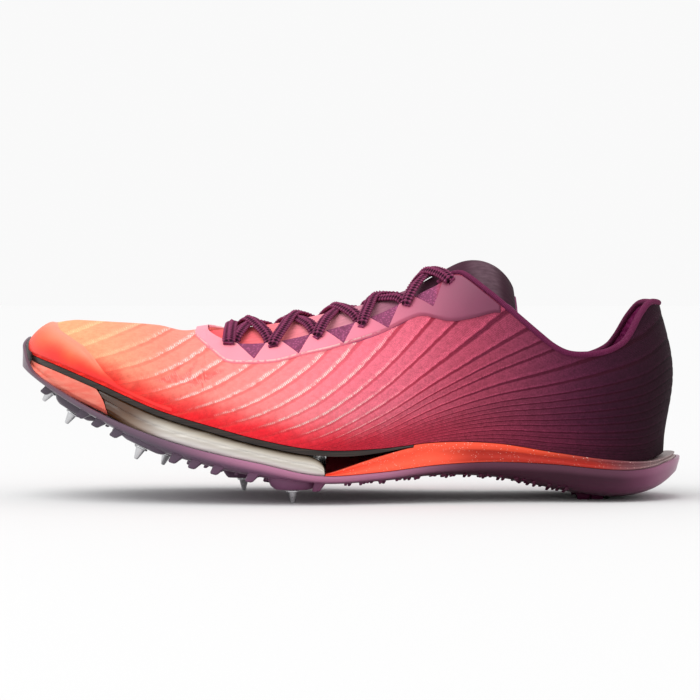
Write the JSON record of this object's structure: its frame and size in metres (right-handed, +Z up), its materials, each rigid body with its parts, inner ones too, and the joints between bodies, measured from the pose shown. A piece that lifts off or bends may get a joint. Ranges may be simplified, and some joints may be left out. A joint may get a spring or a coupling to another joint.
{
  "type": "track spike shoe",
  "caption": "Low sprint spike shoe with a woven upper, laced throat, cushioning bag, stiff plate and a curved moulded spike plate.",
  "frame": {"origin": "middle of the bounding box on the floor that the shoe stands on", "axes": "+Z up, +X from toe to heel, +Y to the inner side of the left foot"},
  "size_m": [0.2862, 0.0952, 0.1018],
  "materials": {
    "upper_weave": "coral to plum gradient weave with fanned ribs",
    "eyestay_film": "pink to mauve satin film",
    "toe_cap_film": "orange satin film fused to the weave",
    "binding_knit": "plum knit",
    "tongue_cloth": "plum cloth with a grey sheen",
    "insole_cloth": "dark cloth",
    "carbon_weave": "black satin fibre plate",
    "toe_foam_salmon": "salmon foam",
    "air_film": "clear pearly film",
    "heel_foam_orange": "speckled orange foam fading to plum",
    "plate_mauve": "translucent mauve, smooth",
    "pin_steel": "turned steel",
    "lace_braid": "dark plum flat braid"
  },
  "bodies": {
    "root": {"upper": "upper_weave", "eyestay": "eyestay_film", "toe_cap": "toe_cap_film", "collar_binding": "binding_knit", "tongue": "tongue_cloth", "insole": "insole_cloth", "carbon_plate": "carbon_weave", "toe_foam": "toe_foam_salmon", "air_unit": "air_film", "heel_foam": "heel_foam_orange", "spike_plate": "plate_mauve", "pin_1": "pin_steel", "pin_2": "pin_steel", "pin_3": "pin_steel", "pin_4": "pin_steel", "pin_5": "pin_steel", "pin_6": "pin_steel", "lace_bar": "lace_braid", "lace_cross_1": "lace_braid", "lace_cross_2": "lace_braid", "lace_cross_3": "lace_braid", "lace_cross_4": "lace_braid", "lace_cross_5": "lace_braid"}
  },
  "joints": []
}
